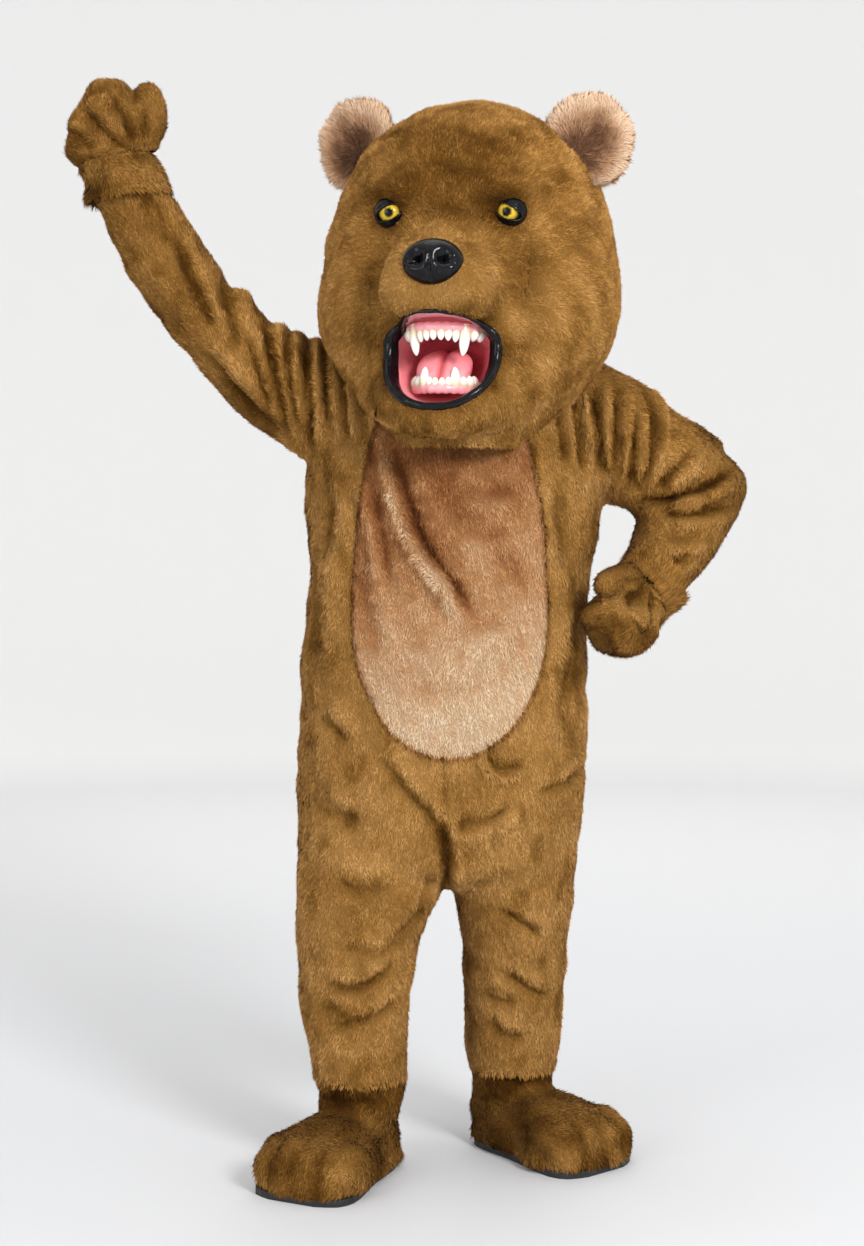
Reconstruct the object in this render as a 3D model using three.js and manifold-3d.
// Brown bear costume for the stage: a one-piece plush suit with an oval belly, a hollow head with an open
// mouth, a pair of mitts and a pair of feet, in the pose that it is worn in: one arm raised, one on the hip.
//
// Millimetres, +Z up, the chest faces -Y and the wearer's left is +X. Heights in the tables are above the
// soles, and the finished group is lowered so that the origin is the neck base, where the wearer carries it.
//
// Every cloth piece is a wall: an outer form less an inner one, cut apart along its seams.

import * as THREE from 'three';
import { mergeVertices } from 'three/addons/utils/BufferGeometryUtils.js';
import Module from 'manifold-3d';

// ---- Driving dimensions ----------------------------------------------------------------------------------

const CARRY_HEIGHT = 1450; // soles to the neck base
const PLUSH = 5; // plush cloth: its backing and the dense foot of its pile
const HEAD_WALL = 9; // head: plush glued on a moulded foam shell
const SEAM = 0.3; // gap at a seam, and between a piece and what it is seated on
const OPEN_END = 6; // how far a hollow runs past an open end, so that the cut is clean
const ROOM = 900; // half size of the blocks that cut a form at a plane

const BODY_SIDES = 16; // points round the torso and the head
const LEG_SIDES = 12;
const ARM_SIDES = 10;
const SMALL_SIDES = 8;
const TOOTH_SIDES = 6;
// How square a section is: 2 is a true ellipse.
const ROUND = 2;
const HEAD_SQUARE = 2.15;
const FACE_SQUARE = 2.2;
const SQUARE = 2.3;

const CENTRE_SEAM = 0; // x of the centre front and centre back seams
// The side seam falls straight from the shoulder to the hip, and then follows the middle of the leg.
const SIDE_SEAM = { y: 0, top: 1600, hip: 700, bottom: 100 };

// Torso from the neck down to the low crotch. wide and deep are half sizes.
const TORSO = table('z x y wide deep', [
  [1486, 8, 0, 118, 104],
  [1464, 10, 0, 172, 126],
  [1425, 12, 0, 226, 150],
  [1345, 12, 0, 258, 169],
  [1260, 12, 0, 262, 177],
  [1030, 3, 0, 254, 187],
  [770, -5, 0, 261, 190],
  [640, -9, 0, 257, 178],
  [556, -18, 4, 244, 156],
  [502, -16, 8, 208, 118],
  [480, -14, 10, 150, 74],
]);

// Legs, from inside the torso down to the hem. The right foot stands forward of the left.
const LEG = {
  right: table('z x y wide deep', [
    [620, -136, -11, 118, 138],
    [510, -144, -28, 124, 137],
    [400, -156, -44, 113, 122],
    [290, -164, -58, 96, 106],
    [225, -158, -65, 83, 96],
    [172, -154, -70, 78, 90],
  ]),
  left: table('z x y wide deep', [
    [620, 120, 5, 119, 138],
    [510, 128, 21, 108, 133],
    [400, 130, 42, 98, 119],
    [290, 127, 61, 87, 105],
    [220, 126, 71, 83, 97],
    [156, 127, 80, 78.2, 90],
  ]),
};

// Sleeves, from inside the torso to the wrist. The raised one is a single tube; the bent one is an upper
// sleeve and a lower sleeve that meet in a round elbow.
const RAISED_SLEEVE = table('x y z wide deep', [
  [-130, 4, 1366, 122, 112],
  [-232, 0, 1391, 107, 104],
  [-345, -8, 1455, 78, 88],
  [-447, -16, 1561, 71, 78],
  [-516, -22, 1664, 68, 72],
  [-570, -28, 1770, 60, 60],
  [-596, -30, 1824.5, 57.9, 57.9],
]);
const UPPER_SLEEVE = table('x y z wide deep', [
  [180, 4, 1362, 112, 112],
  [282, 6, 1338, 102, 106],
  [355, 15, 1298, 94, 98],
  [432, 24, 1252, 88, 92],
  [470, 24, 1228, 60, 66],
]);
const LOWER_SLEEVE = table('x y z wide deep', [
  [480, 30, 1284, 58, 60],
  [464, 22, 1240, 84, 86],
  [432, -2, 1162, 77, 80],
  [392, -38, 1088, 65, 70],
  [361, -67.1, 1051, 59, 59],
  [342.1, -85.5, 1026.7, 57.9, 57.9],
]);

// Mitts, in a frame whose z runs out of the sleeve from the wrist.
const WRIST = {
  right: { at: [-596.4, -30, 1825.4], along: [-0.4226, 0, 0.9063], twist: 0 },
  left: { at: [341.6, -86, 1026], along: [-0.525, -0.51, -0.681], twist: (-2 * Math.PI) / ARM_SIDES },
};
const MITT_HAND = table('z x y wide deep', [
  [2.3, 0, 0, 60, 56],
  [28, -2, -2, 68, 62],
  [60, 2, -8, 73, 68],
  [92, 9, -12, 72, 68],
  [111, 14, -12, 60, 58],
  [121, 18, -12, 32, 34],
]);
const MITT_THUMB = table('x y z wide deep', [
  [54, -14, 0, 20, 20],
  [84, -18, 18, 23, 24],
  [100, -20, 44, 22, 23],
  [105, -22, 66, 17, 17],
  [105, -22, 76, 8, 8],
]);
const MITT_SEAM = -12; // y of the seam between the palm and the back of the hand
const MITT_CUFF = table('z x y wide deep', [
  [-64, 0, 0, 73, 73],
  [-50, 0, 0, 77, 77],
  [-26, 0, 0, 72, 72],
  [2, 0, 0, 61, 61],
]);

// Feet, in a frame whose toes point to -Y, with the sole on z 0. front and back are measured from the ankle.
const STANCE = {
  right: { at: [-154, -70, 0], turn: -0.5 },
  left: { at: [127, 80, 0], turn: 0.76 },
};
const FOOT = table('ahead z wide under over', [
  [-74, 52, 22, 24, 24],
  [-58, 52, 50, 46, 60],
  [-10, 52, 62, 48, 84],
  [60, 50, 74, 46, 76],
  [130, 50, 92, 44, 60],
  [190, 48, 102, 42, 44],
  [222, 46, 78, 34, 28],
]);
const ANKLE = table('z x y wide deep', [
  [60, 0, 0, 58, 58],
  [120, 0, 0, 68, 68],
  [164, 0, 0, 72.4, 72.4],
  [208, 0, 0, 70, 70],
]);
const SOLE_THICK = 12;
const SOLE = table('ahead wide', [
  [-72, 20],
  [-60, 42],
  [-20, 58],
  [60, 69],
  [130, 86],
  [185, 96],
  [220, 83],
  [236, 46],
]);
const TOE_COUNT = 4;
const TOE_PITCH = 49;
const TOE_SIZE = [30, 50, 42];
const TOE_DETAIL = [8, 4];
const TOE_SEAT = { y: -188, z: 54, drawnBack: 0.42 };
const HEEL_SEAM = 8; // y of the seam between the foot's front and its heel piece

// Belly: an oval let into the front, from the neckline to below the waist.
const BELLY = { x: 7, z: 1001, wide: 172, up: 520, down: 240, points: 32 };

// Head, in a frame at its middle that is turned a little to the wearer's right.
const HEAD = { at: [46, -55, 1593], turn: -0.23, tilt: 0.02 };
const SKULL = table('z wide front back', [
  [318, 26, 26, 30],
  [302, 94, 90, 98],
  [258, 165, 150, 170],
  [198, 211, 190, 217],
  [120, 242, 214, 248],
  [10, 261, 228, 258],
  [-90, 248, 231, 247],
  [-190, 190, 224, 212],
  [-250, 144, 206, 188],
  [-290, 118, 186, 168],
]);
const NECK_SPARE = 0.1; // a little more than a seam's gap, where the head rests on the shoulders
const HEAD_SEAM = 14; // y of the seam between the face and the back of the head, behind the ears
const MUZZLE_SEAM = 150; // how far ahead of the head's middle the muzzle and the jaw are sewn on
const JAW_SEAM = -139; // z of the seam between the muzzle and the jaw, at the corners of the mouth
// Muzzle, jaw and mouth run forward from the head's middle: ahead is along -Y, over and under are reaches.
const MUZZLE = table('ahead z wide under over', [
  [120, 8, 150, 100, 118],
  [200, 0, 124, 92, 98],
  [255, -10, 102, 82, 76],
  [290, -18, 80, 66, 56],
  [306, -22, 48, 42, 36],
]);
const JAW = table('ahead z wide under over', [
  [140, -186, 150, 84, 96],
  [210, -204, 120, 74, 78],
  [250, -214, 92, 60, 62],
  [274, -220, 56, 38, 40],
]);
const MOUTH = table('ahead z wide under over', [
  [148, -132, 54, 50, 24],
  [196, -126, 84, 84, 34],
  [240, -119, 99, 104, 40],
  [345, -113, 110, 116, 44],
]);
const PATCH = { spare: 1, past: 20 }; // how far a patch's cutter runs outside the face, and past its tip
const MOUTH_LINER = 3;
const LIP = { band: 15, thick: 7 };
const TONGUE = table('ahead z wide under over', [
  [158, -150, 22, 30, 8],
  [190, -168, 34, 60, 14],
  [215, -180, 34, 60, 13],
  [228, -188, 24, 60, 9],
  [233, -192, 10, 50, 4],
]);

// Teeth stand on a gum arch. along is the place round the arch from the middle, as a share of a quarter turn.
const GUM = { deep: 12, tall: 16, square: 2.4, cover: 3, steps: 5 };
const UPPER_ARCH = { z: -94, half: 66, front: 262, back: 178 };
const LOWER_ARCH = { z: -196, half: 54, front: 244, back: 176 };
const UPPER_TEETH = table('along long wide', [
  [0.055, 17, 9],
  [0.155, 17, 9],
  [0.25, 20, 9],
  [0.4, 44, 12],
]);
const LOWER_TEETH = table('along long wide', [
  [0.06, 14, 8],
  [0.17, 16, 8],
  [0.3, 30, 11],
  [0.46, 17, 11],
  [0.6, 17, 12],
]);

// One tooth, root to tip, as shares of its length (up) and of its width (wide and deep).
const TOOTH = table('up wide deep', [
  [-0.15, 0.5, 0.46],
  [0, 0.56, 0.5],
  [0.6, 0.42, 0.4],
  [1, 0.1, 0.1],
]);

const NOSE = { ahead: 300, z: 10, size: [52, 34, 40], tilt: -0.25, detail: [14, 10] };
const NOSTRIL = { x: 23, z: 6, size: [11, 22, 15], turn: 0.5, detail: [10, 6] };
const SKULL_STEPS = 8; // rows worked out between two of the skull's, to seat the eyes
const EYE_DETAIL = [14, 8];
const EYE = { x: 104, z: 108, radius: 27, depth: 12, rim: 7 };
const EYE_SLIT = { wide: 0.95, tall: 0.64, tilt: 0.3 }; // shares of the eye's radius, and a turn
const EAR = { x: 208, y: -22, z: 248, size: [80, 28, 84], lean: 0.5, turn: 0.35, detail: [10, 6] };
const EAR_DISH = { size: [60, 22, 62], detail: [8, 6] };

// ---- Finishes --------------------------------------------------------------------------------------------

const FINISH = {
  plush: new THREE.MeshStandardMaterial({ color: 0x8a5f30, roughness: 0.95, metalness: 0 }),
  belly: new THREE.MeshStandardMaterial({ color: 0xb98a68, roughness: 0.95, metalness: 0 }),
  earFace: new THREE.MeshStandardMaterial({ color: 0xc09a7c, roughness: 0.95, metalness: 0 }),
  blackVinyl: new THREE.MeshStandardMaterial({ color: 0x141518, roughness: 0.25, metalness: 0 }),
  sole: new THREE.MeshStandardMaterial({ color: 0x1a1a1c, roughness: 0.7, metalness: 0 }),
  gum: new THREE.MeshStandardMaterial({ color: 0xd98088, roughness: 0.35, metalness: 0 }),
  tooth: new THREE.MeshStandardMaterial({ color: 0xf2ede2, roughness: 0.2, metalness: 0 }),
  eye: new THREE.MeshStandardMaterial({ color: 0xc79a34, roughness: 0.08, metalness: 0 }),
};

// ---- Tools: tables, rings, lofts and solids --------------------------------------------------------------

const wasm = await Module();
wasm.setup();

// Rows of numbers as objects, with a key for each column.
function table(columns, rows) {
  const names = columns.split(' ');
  return rows.map((row) => Object.fromEntries(names.map((name, i) => [name, row[i]])));
}

// The rows of a table with others set between them on a smooth curve through every column.
function smoothRows(rows, between) {
  const at = (i) => rows[Math.min(Math.max(i, 0), rows.length - 1)];
  const mix = (a, b, c, d, t) => {
    const bend = 2 * a - 5 * b + 4 * c - d + (3 * b - a - 3 * c + d) * t;
    return b + 0.5 * t * (c - a + t * bend);
  };
  const out = [];
  for (let i = 0; i < rows.length - 1; i++) {
    for (let k = 0; k < between; k++) {
      const names = Object.keys(rows[i]);
      const value = (n) => mix(at(i - 1)[n], at(i)[n], at(i + 1)[n], at(i + 2)[n], k / between);
      out.push(Object.fromEntries(names.map((n) => [n, value(n)])));
    }
  }
  out.push(rows[rows.length - 1]);
  return out;
}

// One closed ring round a centre: half width along a, and its own reach along -b (low) and +b (high).
function ring({ centre, a, b, wide, low, high }, sides, power) {
  const share = (value) => Math.sign(value) * Math.abs(value) ** (2 / power);
  return Array.from({ length: sides }, (_, i) => {
    const turn = (2 * Math.PI * i) / sides;
    const across = wide * share(Math.cos(turn));
    const up = share(Math.sin(turn));
    return centre.clone().addScaledVector(a, across).addScaledVector(b, up * (up < 0 ? low : high));
  });
}

// A closed skin over a list of rings, with a fan of triangles on each end, facing outwards.
function skin(rings) {
  const sides = rings[0].length;
  const points = rings.flat();
  const index = [];
  for (let r = 0; r < rings.length - 1; r++) {
    for (let i = 0; i < sides; i++) {
      const [p, q] = [r * sides + i, r * sides + ((i + 1) % sides)];
      index.push(p, q, q + sides, p, q + sides, p + sides);
    }
  }
  for (const [first, flip] of [[0, true], [(rings.length - 1) * sides, false]]) {
    const middle = points.length;
    const end = points.slice(first, first + sides);
    points.push(end.reduce((sum, p) => sum.add(p), new THREE.Vector3()).divideScalar(sides));
    for (let i = 0; i < sides; i++) {
      const [p, q] = [first + i, first + ((i + 1) % sides)];
      index.push(...(flip ? [middle, q, p] : [middle, p, q]));
    }
  }
  let volume = 0;
  for (let i = 0; i < index.length; i += 3) {
    volume += points[index[i]].dot(points[index[i + 1]].clone().cross(points[index[i + 2]]));
  }
  if (volume < 0) index.reverse();
  const geometry = new THREE.BufferGeometry().setFromPoints(points);
  geometry.setIndex(index);
  return geometry;
}

// The axes of a loft's ring: square to the line of centres, or level, or upright and facing forward.
function ringAxes(way, step) {
  const [x, y, z] = [new THREE.Vector3(1, 0, 0), new THREE.Vector3(0, 1, 0), new THREE.Vector3(0, 0, 1)];
  if (way === 'level') return { a: x, b: y, along: z.multiplyScalar(Math.sign(step.z)) };
  if (way === 'ahead') return { a: x, b: z, along: y.multiplyScalar(Math.sign(step.y)) };
  const along = step.clone().normalize();
  const a = y.cross(along).normalize();
  return { a, b: along.clone().cross(a), along };
}

// A solid lofted through a table. grow moves the skin out, and ends moves its first and last ring on.
function loft(rows, { way = 'along', grow = 0, ends = [0, 0], sides, power = ROUND }) {
  const centres = rows.map((row) => new THREE.Vector3(row.x ?? 0, row.y ?? -(row.ahead ?? 0), row.z));
  const last = rows.length - 1;
  const rings = rows.map((row, i) => {
    const [before, after] = [Math.max(i - 1, 0), Math.min(i + 1, last)];
    const step = centres[after].clone().sub(centres[before]);
    const { a, b, along } = ringAxes(way, step);
    const slope = (rows[after].wide - rows[before].wide) / Math.max(step.length(), 1);
    const flat = 1 / Math.hypot(1, slope);
    const shift = -slope * flat * grow + (i === 0 ? -ends[0] : 0) + (i === last ? ends[1] : 0);
    const centre = centres[i].clone().addScaledVector(along, shift);
    const more = grow * flat;
    const low = (row.front ?? row.under ?? row.deep) + more;
    const high = (row.back ?? row.over ?? row.deep) + more;
    return ring({ centre, a, b, wide: row.wide + more, low, high }, sides, power);
  });
  return solidOf(skin(rings));
}

function solidOf(geometry) {
  const bare = geometry.clone();
  bare.deleteAttribute('normal');
  bare.deleteAttribute('uv');
  const merged = mergeVertices(bare, 1e-4);
  return new wasm.Manifold(
    new wasm.Mesh({
      numProp: 3,
      vertProperties: new Float32Array(merged.attributes.position.array),
      triVerts: new Uint32Array(merged.index.array),
    }),
  );
}

function geometryOf(solid) {
  const mesh = solid.getMesh();
  const geometry = new THREE.BufferGeometry();
  geometry.setAttribute('position', new THREE.BufferAttribute(mesh.vertProperties.slice(), 3));
  geometry.setIndex([...mesh.triVerts]);
  geometry.computeVertexNormals();
  return geometry;
}

function block(low, high) {
  const size = high.map((value, i) => value - low[i]);
  const box = new THREE.BoxGeometry(...size);
  return solidOf(box.translate(...low.map((value, i) => value + size[i] / 2)));
}

function ball(centre, size, detail, turn = new THREE.Euler()) {
  const geometry = new THREE.SphereGeometry(1, ...detail).scale(...size);
  const place = new THREE.Matrix4().makeRotationFromEuler(turn).setPosition(...centre);
  return solidOf(geometry.applyMatrix4(place));
}

// A prism along X of an outline in y and z.
function prism(outline, from, to) {
  const shape = new THREE.Shape(outline.map(([u, v]) => new THREE.Vector2(u, v)));
  const geometry = new THREE.ExtrudeGeometry(shape, { depth: to - from, bevelEnabled: false, steps: 1 });
  return solidOf(geometry.rotateX(Math.PI / 2).rotateZ(Math.PI / 2).translate(from, 0, 0));
}

// The largest body of a cut solid: what falls off is an offcut.
function withoutOffcuts(solid) {
  const bodies = solid.decompose();
  return bodies.reduce((best, body) => (body.volume() > best.volume() ? body : best));
}

function piece(group, name, solid, finish) {
  const mesh = new THREE.Mesh(geometryOf(withoutOffcuts(solid)), finish);
  mesh.name = name;
  group.add(mesh);
  return mesh;
}

const join = (...solids) => solids.reduce((sum, solid) => sum.add(solid));

// ---- Suit ------------------------------------------------------------------------------------------------

const level = { way: 'level', sides: BODY_SIDES, power: SQUARE };
const leg = { way: 'level', sides: LEG_SIDES, power: SQUARE };
const arm = { sides: ARM_SIDES };

const torso = (grow, ends) => loft(TORSO, { ...level, grow, ends });
const raisedSleeve = (grow, ends) => loft(RAISED_SLEEVE, { ...arm, grow, ends });
const bentSleeve = (grow, cuffEnd) =>
  join(
    loft(UPPER_SLEEVE, { ...arm, grow, ends: [grow, grow] }),
    loft(LOWER_SLEEVE, { ...arm, grow, ends: [grow, cuffEnd] }),
  );
const body = (grow, neck, crotch, hem) =>
  join(
    torso(grow, [neck, crotch]),
    loft(LEG.right, { ...leg, grow, ends: [0, hem] }),
    loft(LEG.left, { ...leg, grow, ends: [0, hem] }),
  );

const bodyForm = body(0, 0, 0, 0);
const bodyHollow = body(-PLUSH, OPEN_END, -PLUSH, OPEN_END);
const sleeveHollow = {
  right: raisedSleeve(-PLUSH, [0, OPEN_END]),
  left: bentSleeve(-PLUSH, OPEN_END),
};
const bodyWall = bodyForm.subtract(bodyHollow).subtract(sleeveHollow.right).subtract(sleeveHollow.left);

// A prism along Y through the front only, of the belly's oval, whose upper half is the longer.
function bellyCutter(grow) {
  const outline = Array.from({ length: BELLY.points }, (_, i) => {
    const turn = (2 * Math.PI * i) / BELLY.points;
    const reach = Math.sin(turn) > 0 ? BELLY.up : BELLY.down;
    return new THREE.Vector2(
      BELLY.x + (BELLY.wide + grow) * Math.cos(turn),
      BELLY.z + (reach + grow) * Math.sin(turn),
    );
  });
  const shape = new THREE.Shape(outline);
  const geometry = new THREE.ExtrudeGeometry(shape, { depth: ROOM - SEAM, bevelEnabled: false, steps: 1 });
  return solidOf(geometry.rotateX(Math.PI / 2).translate(0, -SEAM, 0));
}

// What lies in front of (side -1) or behind (side 1) the side seam.
function sideOfSeam(rows, side, from, to) {
  const { y: straight, top, hip, bottom } = SIDE_SEAM;
  const hem = rows[rows.length - 1];
  const downLeg = rows.slice(1).map(({ y, z }) => [y, z]);
  const line = [[straight, top], [straight, hip], ...downLeg, [hem.y, bottom]];
  const edge = line.map(([y, z]) => [y + (side * SEAM) / 2, z]);
  const outline = [...edge, [side * ROOM, bottom], [side * ROOM, top]];
  return prism(side > 0 ? outline : outline.reverse(), from, to);
}

const costume = new THREE.Group();
costume.position.z = -CARRY_HEIGHT;

const halves = {
  right: [LEG.right, -ROOM, CENTRE_SEAM - SEAM / 2],
  left: [LEG.left, CENTRE_SEAM + SEAM / 2, ROOM],
};
piece(costume, 'suit_belly', bodyWall.intersect(bellyCutter(-SEAM / 2)), FINISH.belly);
for (const [side, [rows, from, to]] of Object.entries(halves)) {
  const front = bodyWall.intersect(sideOfSeam(rows, -1, from, to)).subtract(bellyCutter(SEAM / 2));
  piece(costume, `suit_front_${side}`, front, FINISH.plush);
  const back = bodyWall.intersect(sideOfSeam(rows, 1, from, to));
  piece(costume, `suit_back_${side}`, back, FINISH.plush);
}

// A sleeve is sewn to the armhole: its tube stops at the torso's skin.
const armholeSkin = torso(SEAM, [0, 0]);
const sleeveForm = { right: raisedSleeve(0, [0, 0]), left: bentSleeve(0, 0) };
for (const side of ['right', 'left']) {
  const sleeve = sleeveForm[side].subtract(sleeveHollow[side]).subtract(armholeSkin);
  piece(costume, `sleeve_${side}`, sleeve, FINISH.plush);
}

// ---- Mitts -----------------------------------------------------------------------------------------------

function mitt(side) {
  const { at, along, twist } = WRIST[side];
  const group = new THREE.Group();
  const out = new THREE.Vector3(...along).normalize();
  const across = new THREE.Vector3(0, 1, 0).cross(out).normalize();
  group.quaternion.setFromRotationMatrix(
    new THREE.Matrix4().makeBasis(across, out.clone().cross(across), out),
  );
  group.rotateZ(twist);
  group.position.set(...at);

  const thumb = { sides: SMALL_SIDES };
  const hand = { way: 'level', sides: ARM_SIDES, power: SQUARE };
  const handForm = loft(MITT_HAND, hand);
  const thumbForm = loft(MITT_THUMB, thumb);
  const thumbHollow = loft(MITT_THUMB, { ...thumb, grow: -PLUSH, ends: [OPEN_END, -PLUSH] });
  const handHollow = loft(MITT_HAND, { ...hand, grow: -PLUSH, ends: [OPEN_END, -PLUSH] });
  const wall = handForm.subtract(handHollow).subtract(thumbHollow);
  const palmSide = block([-ROOM, -ROOM, 0], [ROOM, MITT_SEAM - SEAM / 2, ROOM]);
  const backSide = block([-ROOM, MITT_SEAM + SEAM / 2, 0], [ROOM, ROOM, ROOM]);
  piece(group, `mitt_${side}_palm`, wall.intersect(palmSide), FINISH.plush);
  piece(group, `mitt_${side}_back`, wall.intersect(backSide), FINISH.plush);

  const handSkin = loft(MITT_HAND, { ...hand, grow: SEAM });
  const thumbWall = thumbForm.subtract(thumbHollow).subtract(handSkin);
  const pastCuff = block([-ROOM, -ROOM, MITT_HAND[0].z + SEAM], [ROOM, ROOM, ROOM]);
  piece(group, `mitt_${side}_thumb`, thumbWall.intersect(pastCuff), FINISH.plush);

  const cuff = { way: 'level', sides: ARM_SIDES };
  const cuffHollow = loft(MITT_CUFF, { ...cuff, grow: -PLUSH, ends: [OPEN_END, OPEN_END] });
  piece(group, `mitt_${side}_cuff`, loft(MITT_CUFF, cuff).subtract(cuffHollow), FINISH.plush);
  return group;
}

costume.add(mitt('right'), mitt('left'));

// ---- Feet ------------------------------------------------------------------------------------------------

// The sole is a flat plate, cut to the foot's plan.
function soleSolid() {
  const edge = smoothRows(SOLE, 2).map(({ ahead, wide }) => new THREE.Vector2(wide, -ahead));
  const mirrored = edge.map(({ x, y }) => new THREE.Vector2(-x, y)).reverse();
  const shape = new THREE.Shape([...edge, ...mirrored]);
  return solidOf(new THREE.ExtrudeGeometry(shape, { depth: SOLE_THICK, bevelEnabled: false, steps: 1 }));
}

function foot(side) {
  const group = new THREE.Group();
  group.position.set(...STANCE[side].at);
  group.rotation.z = STANCE[side].turn;

  const ankle = { way: 'level', sides: ARM_SIDES };
  const shoe = { way: 'ahead', sides: ARM_SIDES, power: SQUARE };
  const toes = Array.from({ length: TOE_COUNT }, (_, i) => {
    const x = (i - (TOE_COUNT - 1) / 2) * TOE_PITCH;
    const back = Math.abs(x) * TOE_SEAT.drawnBack;
    return ball([x, TOE_SEAT.y + back, TOE_SEAT.z], TOE_SIZE, TOE_DETAIL);
  });
  const shape = (grow, ankleEnd, below) => {
    const rows = FOOT.map((row) => ({ ...row, under: row.under + below }));
    return join(
      loft(rows, { ...shoe, grow, ends: [grow, grow] }),
      loft(ANKLE, { ...ankle, grow, ends: [0, ankleEnd] }),
    );
  };
  const aboveSole = block([-ROOM, -ROOM, SOLE_THICK + SEAM], [ROOM, ROOM, ROOM]);
  const form = join(shape(0, 0, 0), ...toes).intersect(aboveSole);
  const wall = form.subtract(shape(-PLUSH, OPEN_END, 2 * SOLE_THICK)); // open onto the sole
  const front = block([-ROOM, -ROOM, 0], [ROOM, HEEL_SEAM - SEAM / 2, ROOM]);
  const heel = block([-ROOM, HEEL_SEAM + SEAM / 2, 0], [ROOM, ROOM, ROOM]);
  piece(group, `foot_${side}_front`, wall.intersect(front), FINISH.plush);
  piece(group, `foot_${side}_heel`, wall.intersect(heel), FINISH.plush);

  piece(group, `foot_${side}_sole`, soleSolid(), FINISH.sole);
  return group;
}

costume.add(foot('right'), foot('left'));

// ---- Head ------------------------------------------------------------------------------------------------

const head = new THREE.Group();
head.position.set(...HEAD.at);
head.rotation.set(0, HEAD.tilt, HEAD.turn);
costume.add(head);

const skullLoft = { way: 'level', sides: BODY_SIDES, power: HEAD_SQUARE };
const faceLoft = { way: 'ahead', sides: ARM_SIDES, power: FACE_SQUARE };
const headForm = (grow, neckEnd = 0) =>
  join(
    loft(SKULL, { ...skullLoft, grow, ends: [grow, neckEnd] }),
    loft(MUZZLE, { ...faceLoft, grow, ends: [0, grow] }),
    loft(JAW, { ...faceLoft, grow, ends: [0, grow] }),
  );
const mouthForm = (grow) => loft(MOUTH, { ...faceLoft, grow, ends: [grow, 0] });

const headSkin = headForm(0);
const headSeat = headForm(SEAM);
const mouth = mouthForm(0);

// The suit in the head's frame: the head's rim rests round the neck, just clear of the shoulders.
function suitInHeadFrame() {
  head.updateMatrix();
  const clear = SEAM + NECK_SPARE;
  const suit = join(torso(clear, [SEAM, 0]), raisedSleeve(clear, [0, 0]), bentSleeve(clear, 0));
  return solidOf(geometryOf(suit).applyMatrix4(head.matrix.clone().invert()));
}

// How far forward the skull's skin lies at a place on the face.
function frontOf(x, z) {
  const rows = smoothRows(SKULL, SKULL_STEPS);
  const row = rows.reduce((best, next) => (Math.abs(next.z - z) < Math.abs(best.z - z) ? next : best));
  return row.front * (1 - Math.abs(x / row.wide) ** HEAD_SQUARE) ** (1 / HEAD_SQUARE);
}

function eyeball(side, grow) {
  const x = side * EYE.x;
  const centre = [x, EYE.depth - frontOf(x, EYE.z), EYE.z];
  return ball(centre, Array(3).fill(EYE.radius + grow), EYE_DETAIL);
}

const headWall = headSkin
  .subtract(headForm(-HEAD_WALL, OPEN_END))
  .subtract(mouthForm(MOUTH_LINER + SEAM))
  .subtract(suitInHeadFrame())
  .subtract(eyeball(-1, SEAM))
  .subtract(eyeball(1, SEAM));

// A patch of the face, sewn on round a muzzle or a jaw: what its loft takes in, ahead of the seam.
const facePatch = (rows, gap, low, high) =>
  loft(rows, { ...faceLoft, grow: PATCH.spare + gap, ends: [OPEN_END, PATCH.past] }).intersect(
    block([-ROOM, -ROOM, low], [ROOM, gap - MUZZLE_SEAM, high]),
  );
const muzzlePatch = (gap) => facePatch(MUZZLE, gap, JAW_SEAM - gap, ROOM);
const jawPatch = (gap) => facePatch(JAW, gap, -ROOM, JAW_SEAM - SEAM + gap);
piece(head, 'head_muzzle', headWall.intersect(muzzlePatch(0)), FINISH.plush);
piece(head, 'head_jaw', headWall.intersect(jawPatch(0)), FINISH.plush);

// The rest of the head is four pieces: a face and a back on each side.
const restOfHead = headWall.subtract(muzzlePatch(SEAM)).subtract(jawPatch(SEAM));
const sideOfHead = {
  right: block([-ROOM, -ROOM, -ROOM], [-SEAM / 2, ROOM, ROOM]),
  left: block([SEAM / 2, -ROOM, -ROOM], [ROOM, ROOM, ROOM]),
};
const faceSide = block([-ROOM, -ROOM, -ROOM], [ROOM, HEAD_SEAM - SEAM / 2, ROOM]);
const backSide = block([-ROOM, HEAD_SEAM + SEAM / 2, -ROOM], [ROOM, ROOM, ROOM]);
for (const [side, half] of Object.entries(sideOfHead)) {
  piece(head, `head_face_${side}`, restOfHead.intersect(half).intersect(faceSide), FINISH.plush);
  piece(head, `head_back_${side}`, restOfHead.intersect(half).intersect(backSide), FINISH.plush);
}

// Mouth: a liner cup, a soft lip laid on the fur round its edge, a tongue, and two arches of teeth.
const liner = mouthForm(MOUTH_LINER).subtract(mouth).intersect(headSkin);
piece(head, 'mouth_liner', liner, FINISH.gum);
const lip = mouthForm(LIP.band).subtract(mouth).intersect(headForm(LIP.thick).subtract(headSeat));
piece(head, 'mouth_lip', lip, FINISH.blackVinyl);
const inMouth = mouthForm(-SEAM);
piece(head, 'tongue', loft(TONGUE, { ...faceLoft, sides: SMALL_SIDES }).intersect(inMouth), FINISH.gum);

// A tooth: a blunt cone that points up (way 1) or down (way -1) from its gum.
function tooth({ x, y, z }, long, wide, way) {
  const rows = TOOTH.map((row) => ({
    x,
    y,
    z: z + row.up * long * way,
    wide: row.wide * wide,
    deep: row.deep * wide,
  }));
  return loft(rows, { way: 'level', sides: TOOTH_SIDES });
}

// A place on an arch, and the way square to the arch there. share runs from -1, at the right end, to 1.
function onArch(share, { half, front, back }, z) {
  const turn = (share * Math.PI) / 2;
  return {
    at: new THREE.Vector3(half * Math.sin(turn), -back - (front - back) * Math.cos(turn), z),
    across: new THREE.Vector3((back - front) * Math.sin(turn), half * Math.cos(turn), 0).normalize(),
  };
}

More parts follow.
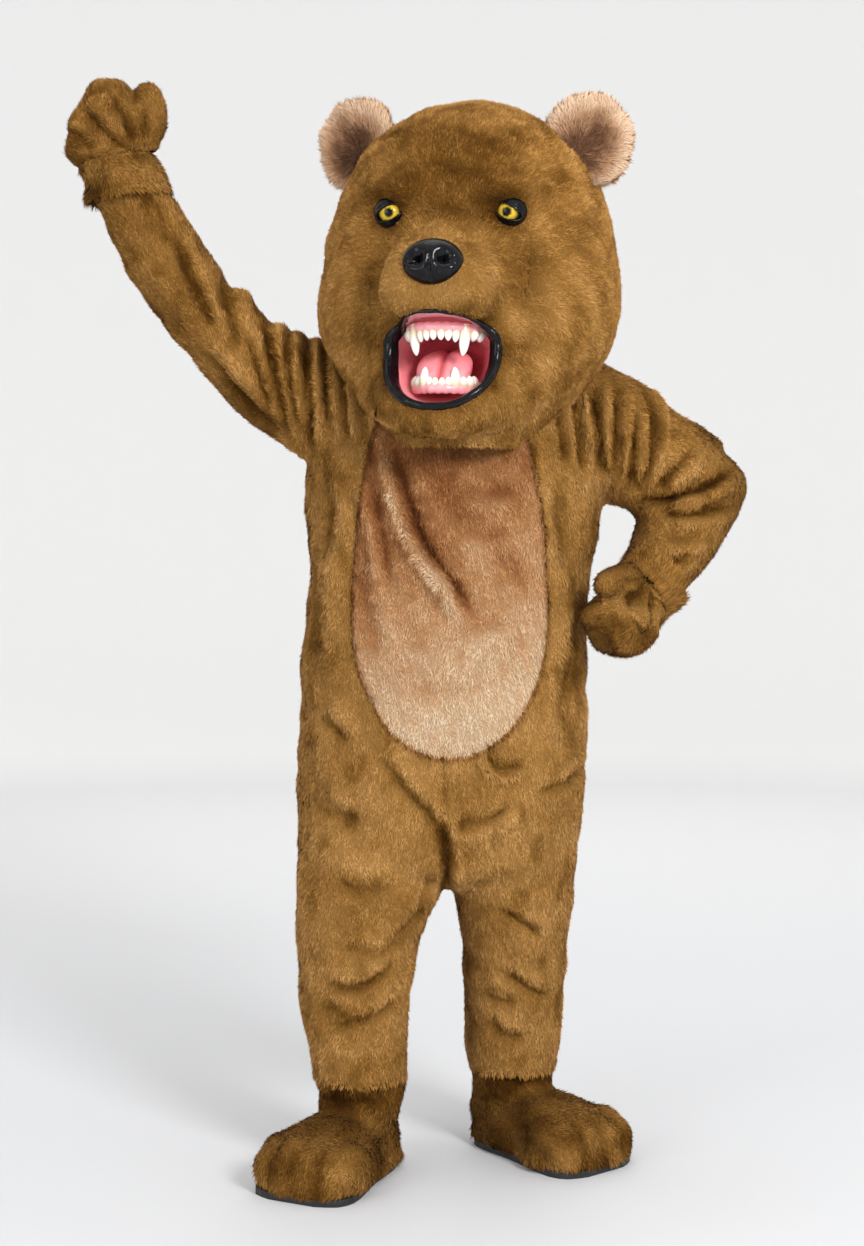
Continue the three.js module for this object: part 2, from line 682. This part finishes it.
// An arch of gum with its teeth, which point up (way 1) or down (way -1).
function teeth(row, arch, way) {
  const reach = { wide: GUM.deep / 2, low: GUM.tall / 2, high: GUM.tall / 2 };
  const rings = Array.from({ length: 2 * GUM.steps + 1 }, (_, i) => {
    const { at, across } = onArch(i / GUM.steps - 1, arch, arch.z);
    return ring({ centre: at, a: across, b: new THREE.Vector3(0, 0, 1), ...reach }, SMALL_SIDES, GUM.square);
  });
  const gumLine = arch.z + way * (GUM.tall / 2 - GUM.cover);
  const crowns = row.flatMap(({ along, long, wide }) =>
    [-along, along].map((share) => tooth(onArch(share, arch, gumLine).at, long, wide, way)),
  );
  return join(solidOf(skin(rings)), ...crowns);
}
piece(head, 'teeth_upper', teeth(UPPER_TEETH, UPPER_ARCH, -1).intersect(inMouth), FINISH.tooth);
piece(head, 'teeth_lower', teeth(LOWER_TEETH, LOWER_ARCH, 1).intersect(inMouth), FINISH.tooth);

// Nose: a glossy moulding seated on the muzzle, with two nostrils.
const noseTurn = new THREE.Euler(NOSE.tilt, 0, 0);
const noseBody = ball([0, -NOSE.ahead, NOSE.z], NOSE.size, NOSE.detail, noseTurn);
const nostrils = [-1, 1].map((side) => {
  const centre = [side * NOSTRIL.x, -NOSE.ahead - NOSE.size[1], NOSTRIL.z];
  return ball(centre, NOSTRIL.size, NOSTRIL.detail, new THREE.Euler(0, 0, side * NOSTRIL.turn));
});
piece(head, 'nose', noseBody.subtract(join(...nostrils)).subtract(headSeat), FINISH.blackVinyl);

// Eyes: a ball set in each socket, and a black lid round it that leaves a slit.
for (const [name, side] of [['right', -1], ['left', 1]]) {
  piece(head, `eye_${name}`, eyeball(side, 0), FINISH.eye);
  const x = side * EYE.x;
  const slit = ball(
    [x, -frontOf(x, EYE.z) - EYE.radius, EYE.z],
    [EYE.radius * EYE_SLIT.wide, 2 * EYE.radius, EYE.radius * EYE_SLIT.tall],
    EYE_DETAIL,
    new THREE.Euler(0, -side * EYE_SLIT.tilt, 0),
  );
  const lid = eyeball(side, EYE.rim).subtract(eyeball(side, SEAM)).subtract(headSeat).subtract(slit);
  piece(head, `eyelid_${name}`, lid, FINISH.blackVinyl);
}

// Ears: a padded back of brown plush and a dished face of pale plush, sewn together and to the head.
for (const [name, side] of [['right', -1], ['left', 1]]) {
  const ear = new THREE.Group();
  ear.position.set(side * EAR.x, EAR.y, EAR.z);
  ear.rotation.set(0, side * EAR.lean, side * EAR.turn, 'ZYX');
  ear.updateMatrix();
  head.add(ear);
  const skullHere = solidOf(geometryOf(headSeat).applyMatrix4(ear.matrix.clone().invert()));
  const form = ball([0, 0, 0], EAR.size, EAR.detail).subtract(skullHere);
  const dish = ball([0, -EAR.size[1], 0], EAR_DISH.size, EAR_DISH.detail);
  const face = form.intersect(block([-ROOM, -ROOM, -ROOM], [ROOM, -SEAM / 2, ROOM])).subtract(dish);
  const back = form.intersect(block([-ROOM, SEAM / 2, -ROOM], [ROOM, ROOM, ROOM]));
  piece(ear, `ear_${name}_face`, face, FINISH.earFace);
  piece(ear, `ear_${name}_back`, back, FINISH.plush);
}

export default costume;
